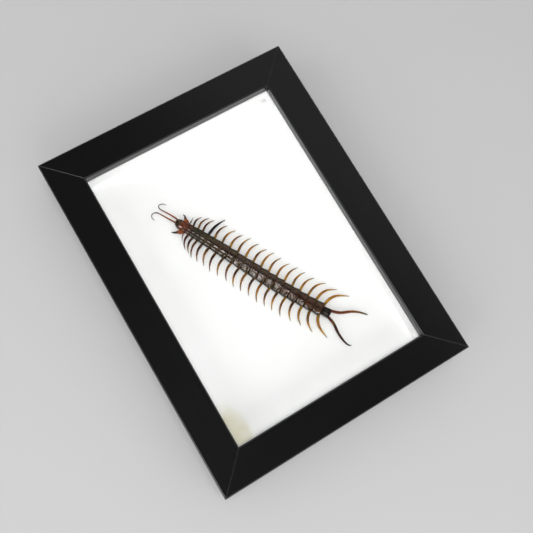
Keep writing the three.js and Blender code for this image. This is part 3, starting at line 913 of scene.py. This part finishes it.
# dry shell: hard and glossy, nearly black on the back, red-brown about the head, amber on the legs;
# colours run along one attribute and a second row of colours is mixed in by another one;
# mottle is the patch size in mm and the least and the greatest strength of a patch
dryShells = {
    "plateShell": {
        "along": "tone", "gloss": 0.16, "shine": 0.5, "mottle": (1.4, 0.25, 1.75), "mixBy": "share",
        "colours": [(0.0, "#0e0704"), (0.1, "#291d13"), (0.25, "#352a1b"), (0.5, "#3d3526"),
                    (0.78, "#342f20"), (0.9, "#100e09"), (1.0, "#060504")],
        "second": [(0.0, "#1b0a05"), (0.1, "#31180d"), (0.3, "#3e2412"), (0.6, "#402a19"),
                   (0.78, "#2f2013"), (0.9, "#120b06"), (1.0, "#070402")],
    },
    "headShell": {
        "along": "share", "gloss": 0.2, "shine": 0.5, "mottle": (1.2, 0.1, 1.9),
        "colours": [(0.0, "#332a1c"), (0.38, "#30261a"), (0.54, "#5c2b12"), (0.76, "#60301c"),
                    (0.88, "#4a2013"), (1.0, "#33251a")],
    },
    "legShell": {
        "along": "share", "gloss": 0.4, "shine": 0.25, "mottle": (1.4, 0.5, 1.5), "mixBy": "tone",
        "colours": [(0.0, "#906e19"), (0.2, "#997015"), (0.36, "#8e5c10"), (0.55, "#9b6613"),
                    (0.7, "#ab7f1d"), (0.86, "#997f47"), (0.95, "#93866e"), (1.0, "#52453a")],
        "second": [(0.0, "#52350c"), (0.2, "#4c2d07"), (0.36, "#3a1805"), (0.55, "#4d2407"),
                   (0.7, "#6a3d0e"), (0.86, "#715231"), (0.95, "#7b6e61"), (1.0, "#403531")],
    },
    "lastLegShell": {
        "along": "share", "gloss": 0.4, "shine": 0.2, "mottle": (1.4, 0.5, 1.5), "mixBy": "tone",
        "colours": [(0.0, "#632407"), (0.45, "#672f0c"), (0.7, "#794b19"), (0.85, "#604b28"),
                    (0.95, "#42403a"), (1.0, "#312f2d")],
        "second": [(0.0, "#42120a"), (0.22, "#3c1206"), (0.29, "#673c0a"), (0.36, "#331207"),
                   (0.6, "#3a1b10"), (0.8, "#311d15"), (1.0, "#28221d")],
    },
    "feelerShell": {
        "along": "share", "gloss": 0.4, "shine": 0.15, "mottle": (1.4, 0.5, 1.5),
        "colours": [(0.0, "#652a06"), (0.35, "#863c07"), (0.52, "#743a13"), (0.72, "#403126"),
                    (1.0, "#2a2a2a")],
    },
    "fangShell": {
        "along": "share", "gloss": 0.25, "shine": 0.4, "mottle": (0.9, 0.0, 2.0),
        "colours": [(0.0, "#6a300a"), (0.5, "#8e4714"), (0.64, "#35150c"), (1.0, "#0c0a09")],
    },
    "softBelly": {
        "along": "share", "gloss": 0.5, "shine": 0.3, "mottle": (1.4, 0.5, 1.5),
        "colours": [(0.0, "#18120a"), (0.5, "#261d12"), (1.0, "#150f09")],
    },
}
shellSurface = {
    "tint": "#fff8f6", "smoother": 0.06, "duller": 0.08, "pitMm": 0.45, "pits": 0.14, "pitDepthMm": 0.12,
    "patchMm": 3.2, "patch": 0.5,  # olive and red-brown patches on the plates
    "oddLeg": "#150d15", "oddTones": (1.0, 2.0),  # the one leg that dried purple-black
    "tailGloss": (-0.06, 0.04), "tailOver": (0.25, 0.95),  # duller towards the tail
    "headPits": (0.04, 0.14), "headOver": (0.15, 0.4),  # smoother towards the head
}


def dryShell(name):
    look = dryShells[name]
    skin = shellSurface
    material, tree = newMaterial(name)
    coords = objectPlace(tree)
    along = addNode(tree, "ShaderNodeAttribute", {"attribute_name": look["along"]}).outputs["Fac"]
    colour = addRamp(tree, along, look["colours"])
    patchMm, faint, strong = look["mottle"]
    mottle = addNoise(tree, coords, patchMm, 4.0, 0.6).outputs["Fac"]
    rough = spread(tree, mottle, look["gloss"] - skin["smoother"], look["gloss"] + skin["duller"])
    relief = {"Height": addNoise(tree, coords, skin["pitMm"], 3.0).outputs["Fac"]}
    if "second" in look:
        second = addRamp(tree, along, look["second"])
        place = addNode(tree, "ShaderNodeAttribute", {"attribute_name": look["mixBy"]}).outputs["Fac"]
        mixBy = place
        if name == "plateShell":
            cloud = addNoise(tree, coords, skin["patchMm"], 3.0).outputs["Fac"]
            mixBy = combine(tree, "ADD", place, spread(tree, cloud, -skin["patch"], skin["patch"]))
            rough = combine(tree, "ADD", rough, spread(tree, place, *skin["tailGloss"], *skin["tailOver"]))
            relief["Strength"] = spread(tree, place, *skin["headPits"], *skin["headOver"])
        colour = mixColours(tree, mixBy, colour, second)
        if name == "legShell":
            odd = spread(tree, place, 0.0, 1.0, *skin["oddTones"])
            colour = mixColours(tree, odd, colour, skin["oddLeg"])
    tinted = addNode(tree, "ShaderNodeMix", {"data_type": "RGBA", "blend_type": "MULTIPLY", 0: 1.0},
                     {6: colour, 7: spread(tree, mottle, faint, strong)})
    pitted = addNode(tree, "ShaderNodeBump",
                     {"Strength": skin["pits"], "Distance": skin["pitDepthMm"] * mm}, relief)
    shader = addNode(tree, "ShaderNodeBsdfPrincipled",
                     {"IOR": 1.5, "Specular IOR Level": look["shine"],
                      "Specular Tint": hexColour(skin["tint"])},
                     {"Base Color": tinted.outputs[2], "Roughness": rough, "Normal": pitted.outputs[0]})
    closeMaterial(tree, shader)
    return material


def makeCentipede():
    builder = Builder()
    addTrunkCore(builder)
    for number in range(len(stations)):
        addPlate(builder, number)
    addHead(builder)
    for side in (1, -1):
        addAntenna(builder, side)
        addFang(builder, side)
        addLastLeg(builder, side)
        for pair in range(1, body["legPairs"] + 1):
            addWalkingLeg(builder, pair, side)
    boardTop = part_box("mount_board")[1].z
    x, y = body["start"]
    place = Matrix.Translation((x * mm, y * mm, boardTop))
    turn = Matrix.Rotation(math.radians(body["turn"]), 4, "Z")
    bmesh.ops.transform(builder.bm, matrix=place @ turn @ Matrix.Scale(mm, 4), verts=builder.bm.verts)
    shells = [dryShell(name) for name in dryShells]
    return makePiece("driedCentipede", builder.bm, shells, "centipede")


centipede = makeCentipede()
print("centipede made:", len(centipede.data.polygons), "faces")


# floor and light: sizes and distances in m, the floor's gap in mm
studio = {
    "floor": "#b8b8b8", "floorSize": 3.0, "floorRoughness": 0.9, "floorGapMm": 0.2,
    "sky": "#ffffff", "skyLight": 0.5, "skyInGloss": 0.03, "lampDistance": 1.1,
}
softboxes = {  # tilt from straight up and heading from +X in degrees, sizes in m, power in W
    "overhead": {"tilt": 6, "heading": 220, "size": (0.35, 0.35), "power": 6.0, "seenIn": "matt"},
    "leftFill": {"tilt": 60, "heading": 180, "size": (1.2, 0.9), "power": 4.1, "seenIn": "matt"},
    "nearFill": {"tilt": 60, "heading": 270, "size": (1.2, 0.9), "power": 5.0, "seenIn": "matt"},
    "key": {"tilt": 40, "heading": 212, "size": (0.5, 0.5), "power": 9.8, "seenIn": "shine"},
    "farPanel": {"tilt": 43, "heading": 20, "size": (2.2, 0.92), "power": 4.2, "seenIn": "shine"},
    "edgeStrip": {"tilt": 76, "heading": 242, "size": (1.9, 0.25), "power": 5.5, "seenIn": "shine"},
}


def makeFloor():
    bm = bmesh.new()
    bmesh.ops.create_grid(bm, x_segments=2, y_segments=2, size=studio["floorSize"])
    mesh = bpy.data.meshes.new("floor")
    bm.to_mesh(mesh)
    bm.free()
    material, tree = newMaterial("paleFloor")
    shader = addNode(tree, "ShaderNodeBsdfPrincipled",
                     {"Base Color": hexColour(studio["floor"]), "Roughness": studio["floorRoughness"]})
    closeMaterial(tree, shader)
    mesh.materials.append(material)
    floor = bpy.data.objects.new("floor", mesh)
    floor.location.z = cadBox[0].z - studio["floorGapMm"] * mm
    scene.collection.objects.link(floor)


def makeLights(pane):
    world = bpy.data.worlds.new("studioSky")
    world.use_nodes = True
    tree = world.node_tree
    tree.nodes.clear()
    ray = addNode(tree, "ShaderNodeLightPath").outputs["Is Glossy Ray"]
    strength = spread(tree, ray, studio["skyLight"], studio["skyInGloss"], 0.0, 1.0)  # dark in the gloss
    sky = addNode(tree, "ShaderNodeBackground", {"Color": hexColour(studio["sky"])}, {"Strength": strength})
    addNode(tree, "ShaderNodeOutputWorld", links={"Surface": sky.outputs[0]})
    scene.world = world
    offGlass = bpy.data.collections.new("offGlass")  # the pane mirrors no lamp, as in the photograph
    offGlass.objects.link(pane)
    offGlass.collection_objects[0].light_linking.link_state = "EXCLUDE"
    for name, softbox in softboxes.items():
        holder = makeSoftbox(name, softbox)
        if softbox["seenIn"] == "shine":
            holder.light_linking.receiver_collection = offGlass


def makeSoftbox(name, softbox):
    lamp = bpy.data.lights.new(name, "AREA")
    lamp.shape = "RECTANGLE"
    lamp.size, lamp.size_y = softbox["size"]
    lamp.energy = softbox["power"]
    tilt = math.radians(softbox["tilt"])
    heading = math.radians(softbox["heading"])
    level = math.sin(tilt)
    toLamp = Vector((level * math.cos(heading), level * math.sin(heading), math.cos(tilt)))
    across = Vector((0, 0, 1)).cross(toLamp).normalized()
    turn = Matrix((across, toLamp.cross(across), toLamp)).transposed().to_4x4()
    holder = bpy.data.objects.new(name, lamp)
    holder.matrix_world = Matrix.Translation(toLamp * studio["lampDistance"]) @ turn
    holder.visible_glossy = softbox["seenIn"] == "shine"  # in the gloss or on matt surfaces
    holder.visible_diffuse = softbox["seenIn"] == "matt"
    scene.collection.objects.link(holder)
    return holder


makeFloor()
makeLights(glassPane)
scene.view_settings.view_transform = "Standard"
print("floor and light set")
